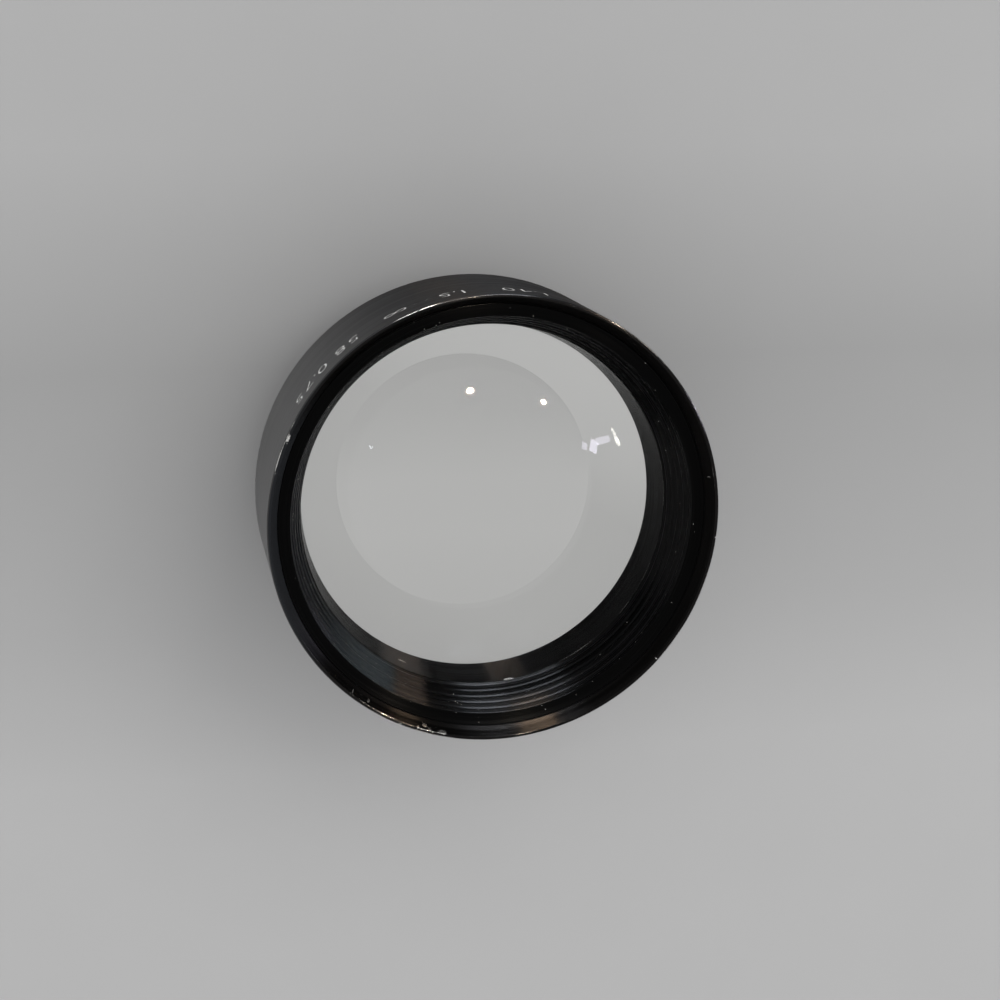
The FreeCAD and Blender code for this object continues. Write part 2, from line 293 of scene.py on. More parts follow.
def anodised(name, colour, roughness, bump, worn_and_glinting=(), tint=0.45, shine=None, painted_sheen=(), coat=None,
             pitch=0.10):
    """Black metal. Each stretch of edge wear, and of painted glints in bare metal: radius, depth,
    width (mm), azimuth, spread (degrees), amount. With a shine it is lacquer instead, with a plain
    specular level. The sheen stretches (azimuth, spread, colour) are painted sheen and painted
    reflections, lighter patches that stand in for light; coat is one (azimuth, spread, weight,
    roughness, least) where handling has polished it."""
    material, tree, shader = new_material(name)
    grooves = use(tree, marks, Pitch=pitch * mm, Breaks=5.0)
    base = mixed(tree, grooves["Streaks"], colour + (1,), tuple(1.4 * c for c in colour) + (1,))
    dust_and_sheen = use(tree, dust, Share=dust_share)["Mask"]
    base = mixed(tree, dust_and_sheen, base, dust_colour)
    # Painted sheen: each stretch lightens the black and takes some metal out, standing in for a
    # reflection.
    for azimuth, spread, sheen_colour in painted_sheen:
        place = stretch_mask(tree, azimuth, spread, 0.4)
        base = mixed(tree, place, base, sheen_colour)
        dust_and_sheen = maths(tree, "MAXIMUM", dust_and_sheen, maths(tree, "MULTIPLY", place, 0.9))
    chipped = add(tree, "ShaderNodeAttribute", attribute_name="bare").outputs["Fac"]
    bare = ramp(tree, products(tree, chipped, 0.70, noise(tree, 3200.0, 3.0), 0.9), 0.92, 1.05)
    for radius_mm, depth_mm, width_mm, azimuth, spread, amount in worn_and_glinting:
        part = use(tree, wear_and_glints, Edge_Radius=radius_mm * mm, Edge_Height=rim_z - depth_mm * mm,
                   Width=width_mm * mm, Azimuth=math.radians(azimuth), Spread=math.radians(spread),
                   Amount=amount)["Mask"]
        bare = maths(tree, "MAXIMUM", bare, part)
    base = mixed(tree, bare, base, bare_metal)
    metal_part = maths(tree, "SUBTRACT", 0.8, dust_and_sheen, clamp=True) if shine is None else 0.0
    metal_part = maths(tree, "MAXIMUM", bare, metal_part)
    bumped = add(tree, "ShaderNodeBump", {
        "Height": grooves["Height"], "Strength": bump, "Distance": 0.02 * mm})
    fill(tree, shader, {
        "Base Color": base,
        "Metallic": metal_part,
        "Roughness": ramp(tree, grooves["Streaks"], 0.0, 1.0, roughness - 0.04, roughness + 0.04),
        "Normal": bumped.outputs[0],
        "Anisotropic": highlight_stretch,
        "Anisotropic Rotation": quarter_turn,
        "Tangent": add(tree, "ShaderNodeTangent", direction_type="RADIAL", axis="Z").outputs[0],
        "Specular IOR Level": 0.05 if shine is None else shine})
    if coat:
        azimuth, spread, weight, coat_roughness, least = coat
        place = stretch_mask(tree, azimuth, spread, 0.3)
        polish = maths(tree, "ADD", maths(tree, "MULTIPLY", place, weight), least)
        fill(tree, shader, {"Coat Weight": polish, "Coat Roughness": coat_roughness})
    if shine is None:
        shader.inputs["Specular Tint"].default_value = (tint, tint, tint, 1)
    return material


rim_land = 0.5
rim_chamfer = 0.2
bevel_depth = 1.85
mouth_r = barrel_r - rim_land
edge_r = barrel_r - rim_chamfer / 2
edge_depth = rim_chamfer / 2
# The stretch at azimuth 253 is a painted highlight, a lamp's reflection on the rim edge shown as bare
# metal; the other stretches are wear.
rim_wear_and_highlight = [
    (edge_r, edge_depth, 0.20, 300.0, 9.0, 0.75), (edge_r, edge_depth, 0.12, 253.0, 8.0, 0.68),
    (edge_r, edge_depth, 0.12, 185.0, 32.0, 0.62), (edge_r, edge_depth, 0.14, 112.0, 20.0, 0.60),
    (mouth_r, 0.0, 0.16, 22.0, 22.0, 0.62), (edge_r, edge_depth, 0.14, 32.0, 26.0, 0.58),
    (mouth_r, 0.0, 0.10, 160.0, 40.0, 0.45)]
barrel_finish = anodised("black_barrel", (0.007, 0.007, 0.008), 0.36, 0.15, rim_wear_and_highlight, shine=0.04,
                         coat=(325.0, 85.0, 0.95, 0.3, 0.0))
# Its lighter bluish patch at azimuth 322 is painted sheen.
mouth_finish = anodised("black_mouth", (0.0085, 0.0080, 0.0078), 0.17, 0.30, rim_wear_and_highlight,
                        painted_sheen=[(322.0, 45.0, (0.017, 0.018, 0.020, 1))])
dish_finish = anodised("black_dish", (0.0024, 0.0024, 0.0024), 0.25, 0.25, tint=0.3)
# Lighter patches on the cone stand in for light: a painted bluish reflection at azimuth 7.7, a painted
# warm streak of lamp light at 27, and painted sheen at 142 and 322.
painted_reflections = [
    (7.7, 24.0, (0.028, 0.034, 0.038, 1)), (27.0, 7.0, (0.032, 0.025, 0.021, 1)),
    (142.0, 34.0, (0.0075, 0.0075, 0.0075, 1)), (322.0, 55.0, (0.008, 0.0085, 0.0095, 1))]
cone_finish = anodised("black_cone", (0.0058, 0.0058, 0.0060), 0.25, 0.25, painted_sheen=painted_reflections)
# The stretches at azimuths 60.1 and 25.4 are painted glints of two lamps, shown as bare metal; the
# first is a thin bare line along the front edge.
ring_wear_and_glints = [
    (27.02, ring_front + 0.25, 0.10, 120.0, 75.0, 0.8), (27.0, ring_front + 0.3, 0.8, 60.1, 1.8, 0.95),
    (26.7, 12.2, 0.8, 25.4, 1.7, 0.95)]
# Warm, slightly lighter patches round those two glints are painted halos of lamp light.
painted_halos = [(25.4, 10.0, (0.015, 0.011, 0.009, 1)), (60.1, 8.0, (0.013, 0.010, 0.008, 1))]
ring_finish = anodised("black_ring", (0.0068, 0.0068, 0.0072), 0.18, 0.06, ring_wear_and_glints, tint=0.44,
                       painted_sheen=painted_halos, coat=(187.0, 110.0, 0.12, 0.05, 0.03), pitch=0.08)
cell_finish = anodised("black_cell", (0.010, 0.010, 0.011), 0.45, 0.30, shine=0.20, pitch=0.15)
print("black finishes:", [m.name for m in (barrel_finish, mouth_finish, cone_finish, ring_finish)])

# %% [markdown]
# The glass is clear and polished. Its coating takes most of the mirror images off the front, so the
# Specular Tint, which colours the reflections of clear glass too, is a dark grey. Light from the
# lamps should also reach what lies below the glass, and refracted lamp light is slow to render, so
# shadow rays pass straight through: Light Path picks a Transparent shader for them. The ground edge
# of a lens is painted black against stray light.
# %% Glass and edge paint
glass_index = 1.52
clear_colour = (0.985, 0.985, 0.980, 1)
speck_colour = (0.4, 0.38, 0.35, 1)
shadow_colour = (0.96, 0.97, 0.96, 1)


def glass(name, coating, tint=None, deep=False):
    """Clear optical glass that lets lamp light through. coating is the share of its reflections that
    is left. tint builds another colour in its tree: a painted shade. deep glass lies behind other
    glass: light that came through that one passes without mirror images."""
    material, tree, shader = new_material(name)
    spots = use(tree, dust, Cell_Size=2.2 * mm, Speck_Size=0.035, Share=0.12)["Mask"]
    body = mixed(tree, spots, tint(tree) if tint else clear_colour, speck_colour)
    fill(tree, shader, {
        "Base Color": body,
        "Roughness": 0.0,
        "IOR": glass_index,
        "Specular Tint": (coating, coating, coating, 1),
        "Transmission Weight": 1.0})
    clear = add(tree, "ShaderNodeBsdfTransparent", {"Color": shadow_colour})
    path = add(tree, "ShaderNodeLightPath")
    surface = shader.outputs[0]
    if deep:
        plain = add(tree, "ShaderNodeBsdfRefraction", {
            "Color": body, "Roughness": 0.0, "IOR": glass_index})
        surface = add(tree, "ShaderNodeMixShader", {
            0: path.outputs["Is Transmission Ray"], 1: surface, 2: plain.outputs[0]}).outputs[0]
    blend = add(tree, "ShaderNodeMixShader", {
        0: path.outputs["Is Shadow Ray"], 1: surface, 2: clear.outputs[0]})
    tree.links.new(blend.outputs[0], tree.nodes["Material Output"].inputs["Surface"])
    return material


front_coating = 0.25
uncoated = 1.0
rear_coating = 0.15
crown_glass = glass("front_glass", front_coating)
inner_glass = glass("inner_glass", uncoated)
rear_glass = glass("rear_glass", rear_coating, deep=True)
edge_paint = anodised("edge_paint", (0.004, 0.004, 0.004), 0.7, 0.2, shine=0.1, pitch=0.3)
print("glass finishes:", crown_glass.name, rear_glass.name)

# %% [markdown]
# A turned part is its outline swept round the axis. Curve and Screw modifiers could do it, but a
# short helper that writes the rings of points itself keeps every radius exact. Corners are eased
# by a few hundredths of a millimetre, as a real edge is, so that they catch a line of light.
# %% A lathe for outlines
def eased(outline, ease, steps=3):
    """The outline with each corner rounded off, in millimetres."""
    points = [Vector(p) for p in outline]
    result = []
    for before, corner, after in zip(points[-1:] + points, points, points[1:] + points[:1]):
        back, ahead = before - corner, after - corner
        if back.length < 1e-6 or ahead.length < 1e-6 or corner.x < 1e-6:
            result.append(corner)
            continue
        if abs(back.angle(ahead) - math.pi) < math.radians(8):
            result.append(corner)
            continue
        cut = min(ease, 0.4 * back.length, 0.4 * ahead.length)
        start = corner + back.normalized() * cut
        end = corner + ahead.normalized() * cut
        for step in range(steps + 1):
            t = step / steps
            result.append(start * (1 - t) ** 2 + corner * 2 * t * (1 - t) + end * t ** 2)
    return [(p.x, p.y) for p in result]


def turned(name, outline, around=360):
    """A closed outline of (radius, depth) in millimetres, swept round the optical axis."""
    work = bmesh.new()
    rows = []
    for index in range(around):
        angle = 2 * math.pi * index / around
        c, s = math.cos(angle), math.sin(angle)
        rows.append([work.verts.new((r * mm * c, r * mm * s, rim_z - d * mm)) for r, d in outline])
    for index in range(around):
        here, there = rows[index], rows[(index + 1) % around]
        for k in range(len(outline)):
            n = (k + 1) % len(outline)
            work.faces.new((here[k], there[k], there[n], here[n]))
    bmesh.ops.remove_doubles(work, verts=work.verts, dist=1e-8)
    bmesh.ops.dissolve_degenerate(work, edges=work.edges, dist=1e-9)
    bmesh.ops.recalc_face_normals(work, faces=work.faces)
    mesh = bpy.data.meshes.new(name)
    work.to_mesh(mesh)
    work.free()
    return placed(name, mesh)


def round_shading(piece):
    """Gives each turned face the shading of the true round surface."""
    mesh = piece.data
    mesh.shade_smooth()
    faces, corners = len(mesh.polygons), len(mesh.loops)
    spots = np.zeros(3 * len(mesh.vertices))
    normals, centres = np.zeros(3 * faces), np.zeros(3 * faces)
    owners, sizes = np.zeros(corners, int), np.zeros(faces, int)
    mesh.vertices.foreach_get("co", spots)
    mesh.polygons.foreach_get("normal", normals)
    mesh.polygons.foreach_get("center", centres)
    mesh.polygons.foreach_get("loop_total", sizes)
    mesh.loops.foreach_get("vertex_index", owners)
    spots, normals, centres = spots.reshape(-1, 3), normals.reshape(-1, 3), centres.reshape(-1, 3)
    face = np.repeat(np.arange(faces), sizes)
    radial = centres[:, :2] / np.maximum(np.hypot(*centres[:, :2].T), 1e-9)[:, None]
    outward = (normals[:, :2] * radial).sum(1)
    sideways = normals[:, 1] * radial[:, 0] - normals[:, 0] * radial[:, 1]
    corner_r = np.hypot(*spots[owners][:, :2].T)
    ray = spots[owners][:, :2] / np.maximum(corner_r, 1e-9)[:, None]
    shading = np.column_stack([ray * outward[face][:, None], normals[face][:, 2]])
    plain = (np.abs(sideways[face]) > 0.05) | (corner_r < 1e-6)
    shading[plain] = normals[face][plain]
    mesh.normals_split_custom_set(shading.tolist())


def give(piece, *materials):
    """Fills a piece's material slots in order."""
    piece.data.materials.clear()
    for material in materials:
        piece.data.materials.append(material)


def finish_piece(piece, slot, *nodes):
    """Rides on the lens and stands for its CAD nodes. slot is not used."""
    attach(piece, "root")
    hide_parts(*nodes)
    print(piece.name, len(piece.data.polygons), "faces, replaces", nodes)


# %% [markdown]
# The barrel is a short wide tube. Its mouth has a narrow flat land, then a wide lead-in bevel that
# runs down to the trim ring. The round rear lip holds the lens cell and stays hidden inside.
# %% The barrel
bore_r = 30.95
lip_r = 29.95
lip_front = 21.5
rear_chamfer = 0.4
barrel_outline = [
    (mouth_r, 0),
    (barrel_r - rim_chamfer, 0),
    (barrel_r, rim_chamfer),
    (barrel_r, 0.6),
    (barrel_r, barrel_rear - rear_chamfer),
    (barrel_r - rear_chamfer, barrel_rear),
    (lip_r, barrel_rear),
    (lip_r, lip_front),
    (bore_r, lip_front),
    (bore_r, bevel_depth)]
bevel_slope = (mouth_r - bore_r) / bevel_depth
for depth in (1.3, 0.9, 0.55, 0.25):
    barrel_outline.append((mouth_r - bevel_slope * depth, depth))
barrel = turned("barrel", eased(barrel_outline, 0.06), 720)
print("barrel", len(barrel.data.vertices), "points")

# %% [markdown]
# Marks are engraved round the barrel near the rim and filled with white paint: plain numerals, a
# dash and an infinity sign. Text objects become solid meshes, which are bent round the barrel. A
# Boolean cuts them out of the metal, and slightly smaller copies lie in the cuts as paint. The
# camera looks along the barrel, so the paint comes up almost flush, or the cuts would hide it.
# %% Engraved marks
mark_height = 3.1
mark_depth = 0.10
paint_depth = 0.012
mark_base = 6.45
thinner = -0.014


def evaluated_mesh(piece):
    """What a piece looks like with its modifiers, as a plain mesh."""
    bpy.context.view_layer.update()
    shown = piece.evaluated_get(bpy.context.evaluated_depsgraph_get())
    return bpy.data.meshes.new_from_object(shown)


def wrapped(name, text, azimuth, em, low_r, high_r, offset):
    """A character as a solid bent round the axis, between two radii, centred on an azimuth."""
    curve = bpy.data.curves.new(name, "FONT")
    curve.body = text
    curve.align_x = "CENTER"
    curve.resolution_u = 4
    curve.extrude = 0.5
    curve.offset = offset
    letter = placed(name, curve)
    mesh = evaluated_mesh(letter)
    bpy.data.objects.remove(letter)
    for vertex in mesh.vertices:
        x, y, z = vertex.co
        radius = (low_r + (high_r - low_r) * (z + 0.5)) * mm
        angle = math.radians(azimuth) + x * em / barrel_r
        height = rim_z - mark_base * mm + y * em * mm
        vertex.co = (radius * math.cos(angle), radius * math.sin(angle), height)
    return mesh


capital = 0.73
characters = [
    ("1", -141.2), (".", -138.9), ("4", -136.0), ("0", -131.6),
    ("1", -120.3), (".", -118.3), ("5", -115.6), ("–", -109.5), ("∞", -102.6),
    ("5", -90.6), ("8", -86.4), ("0", -80.2), (".", -77.6), ("7", -75.0), ("5", -70.9)]
print(len(characters), "characters")


def joined(name, meshes):
    """Several meshes as one object, doubles merged and faces outwards."""
    work = bmesh.new()
    for mesh in meshes:
        work.from_mesh(mesh)
    bmesh.ops.remove_doubles(work, verts=work.verts, dist=1e-7)
    bmesh.ops.recalc_face_normals(work, faces=work.faces)
    result = bpy.data.meshes.new(name)
    work.to_mesh(result)
    work.free()
    return placed(name, result)


em = mark_height / capital
floor_r = barrel_r - mark_depth
cutters = joined("cutters", [
    wrapped("cut", text, at, em, floor_r, barrel_r + 0.3, thinner) for text, at in characters])
paint = joined("painted_marks", [
    wrapped("fill", text, at, em, floor_r + 0.002, barrel_r - paint_depth, thinner - 0.001)
    for text, at in characters])
print("paint", len(paint.data.polygons), "faces")

# %% [markdown]
# The solid characters are cut out of the barrel in one go, and what is cut away fills with paint.
# %% Cutting the marks
boolean = barrel.modifiers.new("engrave", "BOOLEAN")
boolean.object = cutters
boolean.solver = "EXACT"
engraved = evaluated_mesh(barrel)
barrel.modifiers.clear()
barrel.data = engraved
bpy.data.objects.remove(cutters)
print("engraved barrel", len(engraved.polygons), "faces")

# %% [markdown]
# Knocks have left chips in the front rim and its bevel. Each one is a place (azimuth and radius), a
# half width and a depth. Points near it sink, more in the middle than at the ends, and remember in
# an attribute how bare they are, which the material turns into flecks of metal.
# %% Chips in the rim
chips = [
    (26.2, 32.4, 0.40, 0.08), (31.0, 32.0, 0.45, 0.10), (32.7, 31.6, 0.65, 0.12),
    (34.3, 31.9, 0.4, 0.08), (37.5, 31.9, 1.3, 0.02), (13.8, 31.3, 0.4, 0.08),
    (16.0, 31.6, 0.4, 0.03), (11.0, 31.7, 0.3, 0.03), (100.0, 32.1, 0.35, 0.08),
    (135.9, 32.4, 0.3, 0.06), (213.7, 32.3, 0.25, 0.03), (306.9, 32.3, 0.25, 0.03),
    (298.0, 32.2, 1.2, 0.01), (151.9, 31.5, 0.2, 0.04)]
chip_reach = 0.42
chip_zone = 1.2
chip_lean = 0.4
mouth_zone = 2
outer_skin = 0.12
bare = barrel.data.attributes.new("bare", "FLOAT", "POINT")
for vertex in barrel.data.vertices:
    spot = vertex.co
    low = (rim_z - spot.z) / mm
    if low > chip_zone:
        continue
    azimuth_here, radius_here = math.degrees(math.atan2(spot.y, spot.x)), spot.xy.length / mm
    for azimuth, radius, width, depth in chips:
        off = abs((azimuth_here - azimuth + 180) % 360 - 180) * math.radians(1) * barrel_r
        away = math.hypot(off / width, (radius_here - radius) / chip_reach)
        if away < 1:
            share = (1 - away ** 2) * (1 - low / chip_zone)
            spot.z -= depth * mm * share
            spot.xy *= 1 - chip_lean * depth * mm * share / spot.xy.length
            shown = share if radius_here > edge_r else 1 - away ** 2
            bare.data[vertex.index].value = max(bare.data[vertex.index].value, shown)
round_shading(barrel)
give(barrel, barrel_finish, mouth_finish)
for polygon in barrel.data.polygons:
    low = (rim_z - polygon.center.z) / mm
    inner = polygon.center.xy.length < (barrel_r - outer_skin) * mm
    polygon.material_index = int(low < mouth_zone and inner)
finish_piece(barrel, "black_anodised", "front_barrel")
print(len(chips), "chips")

# %% [markdown]
# The marks on the real barrel are filled with white paint that handling has rubbed thin. A picture
# of worn paint could be laid on, but a noise does the same at any size: where it is high, the paint
# turns to the grey of what lies under it.
# %% Engraving paint
def painted(name, colour, worn_colour):
    """White engraving paint, rubbed thin in places."""
    material, tree, shader = new_material(name)
    patches = noise(tree, 900.0, 3.0)
    fill(tree, shader, {
        "Base Color": mixed(tree, ramp(tree, patches, 0.56, 0.68), colour, worn_colour),
        "Roughness": ramp(tree, patches, 0.3, 0.7, 0.45, 0.65)})
    return material


give(paint, painted("white_paint", (0.85, 0.85, 0.83, 1), (0.20, 0.20, 0.20, 1)))
finish_piece(paint, "black_anodised")

# %% [markdown]
# The trim ring closes the gap between barrel and glass: a slightly dished face, then a cone with
# five shallow ridges that break up stray light.
# %% The trim ring
face_width = 1.78
face_dish = 0.33
throat_r = 27.0
ridges = 5
ridge_height = 0.16
ridge_land = 0.55
cone_front = trim_front + face_dish
cone_mouth_r = trim_r - face_width
pitch = (trim_rear - cone_front) / ridges
taper = (cone_mouth_r - throat_r) / (trim_rear - cone_front)
trim_outline = [(trim_r, trim_rear), (trim_r, trim_front)]
for ridge in range(ridges):
    start = cone_front + ridge * pitch
    land_end = start + ridge_land * pitch
    valley = (land_end + start + pitch) / 2
    for depth, lift in ((start, 0), (land_end, 0), (valley, ridge_height)):
        trim_outline.append((cone_mouth_r - taper * (depth - cone_front) + lift, depth))
trim_outline.append((throat_r, trim_rear))
trim = turned("trim_cone", eased(trim_outline, 0.12, 4), 540)
round_shading(trim)
give(trim, cone_finish, dish_finish)
for polygon in trim.data.polygons:
    polygon.material_index = int((rim_z - polygon.center.z) / mm < cone_front + 0.02)
finish_piece(trim, "inner_anodised", "trim_ring")

# %% [markdown]
# The retaining ring screws down on the front glass. Its tapered bore ends in a thin edge that
# follows the curve of the lens.
# %% The front retaining ring
front_curve = 48.0
contact_r = glass_r - 0.67
ring_edge = 0.2


def sagitta(curve, radius):
    """How far a curved face falls back at this radius."""
    return curve - math.sqrt(curve ** 2 - radius ** 2)


seat_apex = glass_apex - 0.02
seat_steps = 6
ring_outline = [
    (ring_r, ring_front), (throat_r + ring_edge, ring_front), (throat_r, ring_front + ring_edge)]
for step in range(seat_steps + 1):
    r = contact_r + (glass_r - contact_r) * step / seat_steps
    ring_outline.append((r, seat_apex + sagitta(front_curve, r)))
ring_outline.append((ring_r, seat_apex + sagitta(front_curve, glass_r)))
ring = turned("glass_ring", eased(ring_outline, 0.05), 540)
round_shading(ring)
give(ring, ring_finish, dish_finish)
for polygon in ring.data.polygons:
    polygon.material_index = int((rim_z - polygon.center.z) / mm < ring_front + ring_edge)
finish_piece(ring, "inner_anodised", "front_retaining_ring")

# %% [markdown]
# Small specks of dirt cling to the turned faces inside the mouth. One could place them by hand, but
# Geometry Nodes scatter them evenly over a surface: points, a small ball on each at its own size,
# then plain geometry. The tree returns only the balls, so they become a piece of their own.
# %% Specks of dirt
def geometry_group(name, **inputs):
    """An empty Geometry Nodes tree with named inputs, each of a kind, and what it is given."""
    tree = bpy.data.node_groups.new(name, "GeometryNodeTree")
    for label, kind in {"Geometry": "Geometry", **inputs, "Material": "Material"}.items():
        label = label.replace("_", " ")
        tree.interface.new_socket(label, in_out="INPUT", socket_type="NodeSocket" + kind)
    tree.interface.new_socket("Geometry", in_out="OUTPUT", socket_type="NodeSocketGeometry")
    return tree, tree.nodes.new("NodeGroupInput").outputs


def ended(tree, geometry, material):
    """Ends a tree in plain geometry with its material."""
    whole = add(tree, "GeometryNodeRealizeInstances", {"Geometry": geometry})
    coloured = add(tree, "GeometryNodeSetMaterial", {
        "Geometry": whole.outputs[0], "Material": material})
    add(tree, "NodeGroupOutput", {"Geometry": coloured.outputs[0]})
    return tree


def speck_tree():
    """Balls of mixed sizes, scattered over the piece; the piece itself is left out."""
    tree, given = geometry_group("specks", Density="Float", Size="Float", Seed="Int")
    points = add(tree, "GeometryNodeDistributePointsOnFaces", {
        "Mesh": given["Geometry"], "Density": given["Density"], "Seed": given["Seed"]})
    ball = add(tree, "GeometryNodeMeshIcoSphere", {"Radius": given["Size"], "Subdivisions": 1})
    size = add(tree, "FunctionNodeRandomValue", {2: 0.35, 3: 1.0, "Seed": given["Seed"]},
               data_type="FLOAT")
    balls = add(tree, "GeometryNodeInstanceOnPoints", {
        "Points": points.outputs["Points"], "Instance": ball.outputs["Mesh"],
        "Rotation": points.outputs["Rotation"], "Scale": size.outputs[1]})
    return ended(tree, balls.outputs[0], given["Material"])


def grown(piece, tree, **values):
    """Gives a piece the tree's result as a plain mesh, with no modifier left."""
    modifier = piece.modifiers.new(tree.name, "NODES")
    modifier.node_group = tree
    for item in tree.interface.items_tree:
        name = item.name.replace(" ", "_")
        if item.in_out == "INPUT" and name in values:
            modifier[item.identifier] = values[name]
    mesh = evaluated_mesh(piece)
    piece.modifiers.clear()
    piece.data = mesh
    give(piece, values["Material"])


dirt, tree, shader = new_material("dirt")
tones = ramp(tree, noise(tree, 400.0), 0.4, 0.6)
dark_dirt, pale_dirt = (0.10, 0.10, 0.095, 1), (0.34, 0.33, 0.31, 1)
fill(tree, shader, {"Base Color": mixed(tree, tones, dark_dirt, pale_dirt)})
specks = placed("dirt_specks", trim.data.copy())
grown(specks, speck_tree(), Density=50000.0, Size=0.09 * mm, Seed=7, Material=dirt)
finish_piece(specks, "inner_anodised")

# %% [markdown]
# Through the glass one sees the pale floor below, a little darker on one side of the rear lens's
# hollow and on another side of its flat margin. On the real lens that is more likely a matter of
# reflections. Here two glass finishes carry it as painted shade, a soft darkening along one direction
# each.
# %% Glass with painted shade
def shade_across(azimuth, half, stops):
    """A tint that follows stops (place, grey) along one direction across the lens."""
    def build(tree):
        x, y, _ = add(tree, "ShaderNodeSeparateXYZ", {0: object_place(tree)}).outputs
        a = math.radians(azimuth)
        along = products(tree, x, math.cos(a), y, math.sin(a))
        part = ramp(tree, along, -half * mm, half * mm, curve="LINEAR")
        scale = add(tree, "ShaderNodeValToRGB", {"Fac": part})
        elements = scale.color_ramp.elements
        while len(elements) < len(stops):
            elements.new(0.5)
        for element, (place, grey) in zip(elements, stops):
            element.position = place
            element.color = (grey, grey, 0.995 * grey, 1)
        return scale.outputs["Color"]
    return build


hollow_r = 16.6
picture_down = 52.7
picture_up_right = 202.7
hollow_stops = [(0.0, 0.81), (0.25, 0.85), (0.52, 0.94), (0.72, 0.945), (1.0, 0.90)]
margin_stops = [(0.05, 0.81), (0.25, 0.865), (0.58, 0.865), (0.74, 0.96), (0.86, 0.995)]
hollow_painted_shade = shade_across(picture_down, hollow_r, hollow_stops)
margin_painted_shade = shade_across(picture_up_right, throat_r, margin_stops)
hollow_glass = glass("hollow_glass", rear_coating, hollow_painted_shade, deep=True)
margin_glass = glass("margin_glass", rear_coating, margin_painted_shade, deep=True)
print("tinted glass:", hollow_glass.name, margin_glass.name)

# %% [markdown]
# The two cemented front glasses act as one block for light, because cement and glass bend it
# nearly alike. Two meshes that share a face would render worse, so one closed mesh stands for both:
# a strongly curved front, a black ground edge and a flat back.
# %% The front glass pair
def lens_shading(piece, dark_edge):
    """Smooth polished faces, and edge paint on the cylinder."""
    mesh = piece.data
    mesh.shade_smooth()
    mesh.set_sharp_from_angle(angle=math.radians(8))
    for polygon in mesh.polygons:
        if abs(polygon.normal.z) < 0.1:
            polygon.material_index = dark_edge


def dome(edge, height, steps=64):
    """Points of a curved face from the axis to its edge; height gives the depth at a radius."""
    return [(edge * k / steps, height(edge * k / steps)) for k in range(steps + 1)]


edge_bevel = 0.15
pair_outline = dome(glass_r, lambda r: glass_apex + sagitta(front_curve, r))
pair_outline += [
    (glass_r, flint_rear - edge_bevel), (glass_r - edge_bevel, flint_rear), (0, flint_rear)]
pair = turned("front_glass_pair", pair_outline, 360)
give(pair, crown_glass, edge_paint, inner_glass)
lens_shading(pair, 1)
for polygon in pair.data.polygons:
    if polygon.normal.z < -0.9:
        polygon.material_index = 2
finish_piece(pair, "optical_glass", "front_crown_lens", "front_flint_lens")

# %% [markdown]
# The rear lens is flat behind and hollow in front, with a flat margin round the hollow. The edge of
# the hollow is the inner circle seen through the front glass.
# %% The rear lens
rear_curve = 47.0
rear_bevel = 0.3
hollow_apex = hollow_front + sagitta(rear_curve, hollow_r)
rear_outline = dome(hollow_r, lambda r: hollow_apex - sagitta(rear_curve, r))
rear_outline += [
    (lens_r - rear_bevel, hollow_front),
    (lens_r, hollow_front + rear_bevel),
    (lens_r, rear_face - rear_bevel),
    (lens_r - rear_bevel, rear_face),
    (0, rear_face)]
rear = turned("rear_glass_lens", rear_outline, 360)
give(rear, hollow_glass, edge_paint, margin_glass, rear_glass)
lens_shading(rear, 1)
for polygon in rear.data.polygons:
    if polygon.normal.z < -0.9:
        polygon.material_index = 3
    elif polygon.normal.z > 0.1 and polygon.center.xy.length > hollow_r * mm:
        polygon.material_index = 2
finish_piece(rear, "optical_glass", "rear_lens")

# %% [markdown]
# The rear mount carries a fine 0.75 mm thread. A thread follows a rule, so Geometry Nodes cut it:
# each point of a finely divided cylinder moves inwards by a wave that climbs one pitch a turn.
# Its inputs name the pitch, the depth and the stretch that is threaded.
# %% The thread tree
crest_share = 0.12
flank_share = 0.8


def thread_tree():
    """Moves the points of the threaded stretch inwards, most in the groove between two crests."""
    tree, given = geometry_group(
        "cut thread", Pitch="Float", Depth="Float", Start="Float", End="Float", Outer_Radius="Float")
    place = add(tree, "GeometryNodeInputPosition").outputs[0]
    x, y, z = add(tree, "ShaderNodeSeparateXYZ", {0: place}).outputs
    turns = maths(tree, "DIVIDE", maths(tree, "ARCTAN2", y, x), 2 * math.pi)
    climb = maths(tree, "SUBTRACT", maths(tree, "DIVIDE", z, given["Pitch"]), turns)
    wave = maths(tree, "MULTIPLY", maths(tree, "PINGPONG", climb, 0.5), 2.0)
    flat = maths(tree, "MULTIPLY", maths(tree, "SUBTRACT", wave, crest_share), 1 / flank_share,
                 clamp=True)
    fade = maths(tree, "MULTIPLY", given["Pitch"], 0.5)
    inside = maths(tree, "MINIMUM", maths(tree, "SUBTRACT", z, given["Start"]),
                   maths(tree, "SUBTRACT", given["End"], z))
    window = maths(tree, "DIVIDE", inside, fade, clamp=True)
    radius = maths(tree, "SQRT", products(tree, x, x, y, y))
    outer = maths(tree, "GREATER_THAN", radius, maths(tree, "SUBTRACT", given["Outer Radius"], 1e-5))
    cut = maths(tree, "MULTIPLY", maths(tree, "MULTIPLY", flat, window),
                maths(tree, "MULTIPLY", given["Depth"], outer))
    share = maths(tree, "DIVIDE", cut, maths(tree, "MAXIMUM", radius, 1e-6))
    inwards = add(tree, "ShaderNodeCombineXYZ", {
        0: maths(tree, "MULTIPLY", maths(tree, "MULTIPLY", x, share), -1.0),
        1: maths(tree, "MULTIPLY", maths(tree, "MULTIPLY", y, share), -1.0)}).outputs[0]
    moved = add(tree, "GeometryNodeSetPosition", {"Geometry": given["Geometry"], "Offset": inwards})
    return ended(tree, moved.outputs[0], given["Material"])


cut_thread = thread_tree()
print("thread tree:", len(cut_thread.nodes), "nodes")

